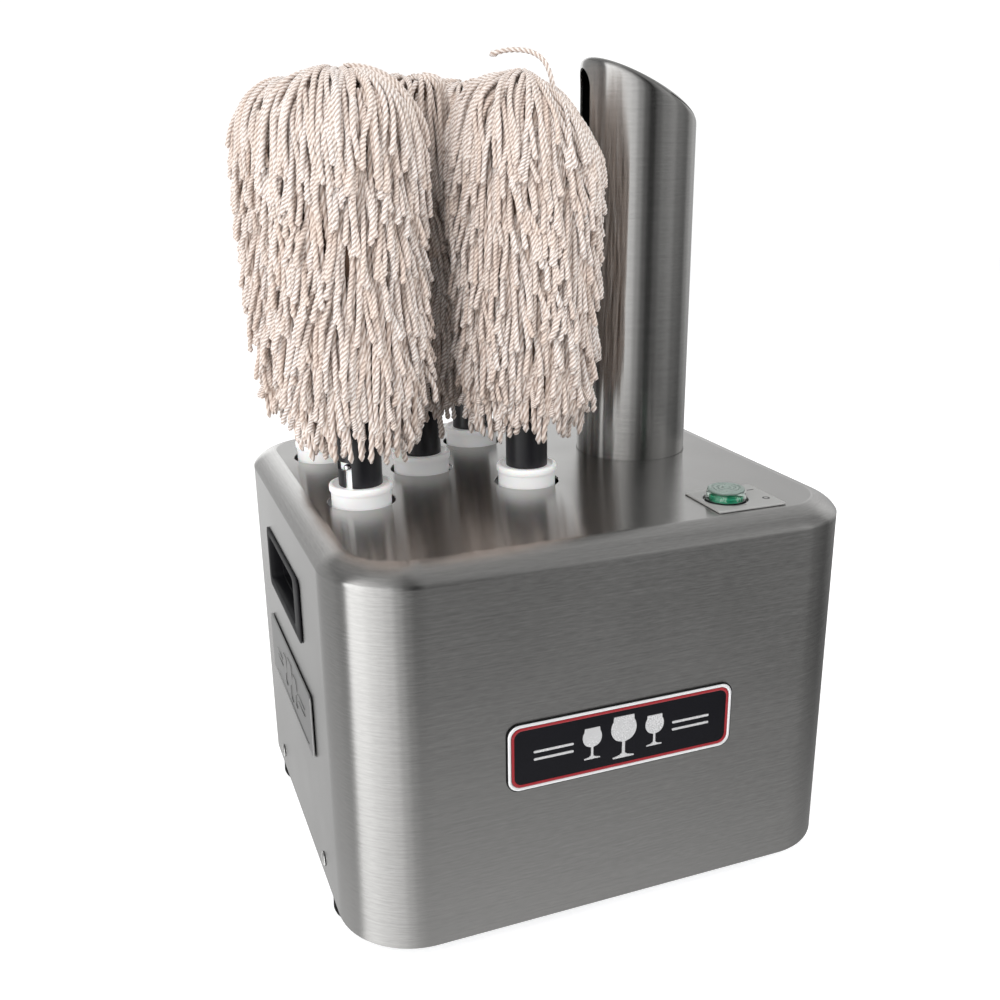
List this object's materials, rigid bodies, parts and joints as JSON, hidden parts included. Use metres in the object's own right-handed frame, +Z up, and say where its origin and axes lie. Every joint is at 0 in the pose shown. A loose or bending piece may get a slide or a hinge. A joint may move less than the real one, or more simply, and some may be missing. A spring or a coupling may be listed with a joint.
{
  "type": "glass washer machine",
  "caption": "Countertop bar glass polisher: upright spinning cotton brushes beside a warm-air duct, on a boxy brushed stainless case with side pocket handles and a rocker switch.",
  "frame": {"origin": "middle of the footprint, on the surface the feet stand on", "axes": "+Z up, X along the front face to the right seen from the front, front face towards -Y"},
  "size_m": [0.3052, 0.2848, 0.4674],
  "materials": {
    "brushed_steel": "fine brushed stainless sheet",
    "zinc_steel": "dull zinc-plated steel",
    "bright_steel": "polished steel",
    "aluminium": "machined",
    "white_acetal": "smooth white acetal",
    "gear_nylon": "cream nylon",
    "black_anodised": "satin black anodised tube",
    "black_plastic": "satin black moulding",
    "black_gloss": "gloss black plate",
    "black_rubber": "matt black rubber",
    "cotton": "twisted cotton cords, cream",
    "green_lens": "translucent green, lit from inside",
    "clear_vinyl": "clear flexible vinyl",
    "label_satin": "satin label plate",
    "motor_grey": "grey enamel",
    "heater_ceramic": "ceramic heater block"
  },
  "bodies": {
    "case": {"housing_cover": "brushed_steel", "base_tray": "zinc_steel", "mains_inlet": "black_plastic", "inlet_contacts": "bright_steel", "handle_left": "black_plastic", "handle_right": "black_plastic", "side_plate_left": "brushed_steel", "side_plate_right": "brushed_steel", "badge_frame": "bright_steel", "badge_face": "black_gloss", "switch_plate": "label_satin", "switch_body": "black_plastic", "switch_boot": "clear_vinyl", "hot_air_duct": "brushed_steel", "bearing_frame": "aluminium", "lower_bearing_plate": "aluminium", "motor_body": "motor_grey", "motor_capacitor": "aluminium", "blower_housing": "zinc_steel", "blower_motor": "motor_grey", "heater_case": "zinc_steel", "heater_element": "heater_ceramic", "foot_front_left": "black_rubber", "side_screw_front_left": "bright_steel", "foot_front_right": "black_rubber", "side_screw_front_right": "bright_steel", "foot_rear_left": "black_rubber", "side_screw_rear_left": "bright_steel", "foot_rear_right": "black_rubber", "side_screw_rear_right": "bright_steel"},
    "spindle_front_left": {"spindle_shaft_front_left": "bright_steel", "spindle_gear_front_left": "gear_nylon", "collar_front_left": "white_acetal"},
    "brush_front_left": {"brush_tube_front_left": "black_anodised", "mop_front_left": "cotton"},
    "spindle_front_right": {"spindle_shaft_front_right": "bright_steel", "spindle_gear_front_right": "gear_nylon", "collar_front_right": "white_acetal"},
    "brush_front_right": {"brush_tube_front_right": "black_anodised", "mop_front_right": "cotton"},
    "spindle_centre": {"spindle_shaft_centre": "bright_steel", "spindle_gear_centre": "gear_nylon", "collar_centre": "white_acetal", "drive_gear": "gear_nylon"},
    "brush_centre": {"brush_tube_centre": "black_anodised", "mop_centre": "cotton"},
    "spindle_rear_left": {"spindle_shaft_rear_left": "bright_steel", "spindle_gear_rear_left": "gear_nylon", "collar_rear_left": "white_acetal"},
    "brush_rear_left": {"brush_tube_rear_left": "black_anodised", "mop_rear_left": "cotton"},
    "spindle_rear_right": {"spindle_shaft_rear_right": "bright_steel", "spindle_gear_rear_right": "gear_nylon", "collar_rear_right": "white_acetal"},
    "brush_rear_right": {"brush_tube_rear_right": "black_anodised", "mop_rear_right": "cotton"},
    "motor_rotor": {"motor_shaft": "bright_steel", "motor_pinion": "gear_nylon"},
    "impeller": {"blower_impeller": "black_plastic"},
    "rocker": {"switch_rocker": "green_lens"}
  },
  "joints": [
    {"name": "spin_front_left", "type": "hinge", "parent": "case", "child": "spindle_front_left", "pos_m": [-0.1074, -0.0249, 0.12], "axis": [0, 0, 1], "continuous": true},
    {"name": "spin_front_right", "type": "hinge", "parent": "case", "child": "spindle_front_right", "pos_m": [-0.0074, -0.0249, 0.12], "axis": [0, 0, 1], "continuous": true},
    {"name": "spin_centre", "type": "hinge", "parent": "case", "child": "spindle_centre", "pos_m": [-0.0574, 0.0251, 0.12], "axis": [0, 0, 1], "continuous": true},
    {"name": "spin_rear_left", "type": "hinge", "parent": "case", "child": "spindle_rear_left", "pos_m": [-0.1074, 0.0751, 0.12], "axis": [0, 0, 1], "continuous": true},
    {"name": "spin_rear_right", "type": "hinge", "parent": "case", "child": "spindle_rear_right", "pos_m": [-0.0074, 0.0751, 0.12], "axis": [0, 0, 1], "continuous": true},
    {"name": "lift_front_left", "type": "slide", "parent": "spindle_front_left", "child": "brush_front_left", "axis": [0, 0, 1], "range_m": [0, 0.1]},
    {"name": "lift_front_right", "type": "slide", "parent": "spindle_front_right", "child": "brush_front_right", "axis": [0, 0, 1], "range_m": [0, 0.1]},
    {"name": "lift_centre", "type": "slide", "parent": "spindle_centre", "child": "brush_centre", "axis": [0, 0, 1], "range_m": [0, 0.1]},
    {"name": "lift_rear_left", "type": "slide", "parent": "spindle_rear_left", "child": "brush_rear_left", "axis": [0, 0, 1], "range_m": [0, 0.1]},
    {"name": "lift_rear_right", "type": "slide", "parent": "spindle_rear_right", "child": "brush_rear_right", "axis": [0, 0, 1], "range_m": [0, 0.1]},
    {"name": "motor_spin", "type": "hinge", "parent": "case", "child": "motor_rotor", "pos_m": [-0.0094, 0.0251, 0.1], "axis": [0, 0, 1], "continuous": true},
    {"name": "impeller_spin", "type": "hinge", "parent": "case", "child": "impeller", "pos_m": [0.0832, 0.019, 0.1], "axis": [0, 0, 1], "continuous": true},
    {"name": "switch_rock", "type": "hinge", "parent": "case", "child": "rocker", "pos_m": [0.08, -0.105, 0.2305], "axis": [1, 0, 0], "range_deg": [-12, 0]}
  ],
  "couplings": [
    {"joint": "spin_front_left", "follows": "spin_centre", "ratio": -1},
    {"joint": "spin_front_right", "follows": "spin_centre", "ratio": -1},
    {"joint": "spin_rear_left", "follows": "spin_centre", "ratio": -1},
    {"joint": "spin_rear_right", "follows": "spin_centre", "ratio": -1},
    {"joint": "motor_spin", "follows": "spin_centre", "ratio": -3}
  ]
}
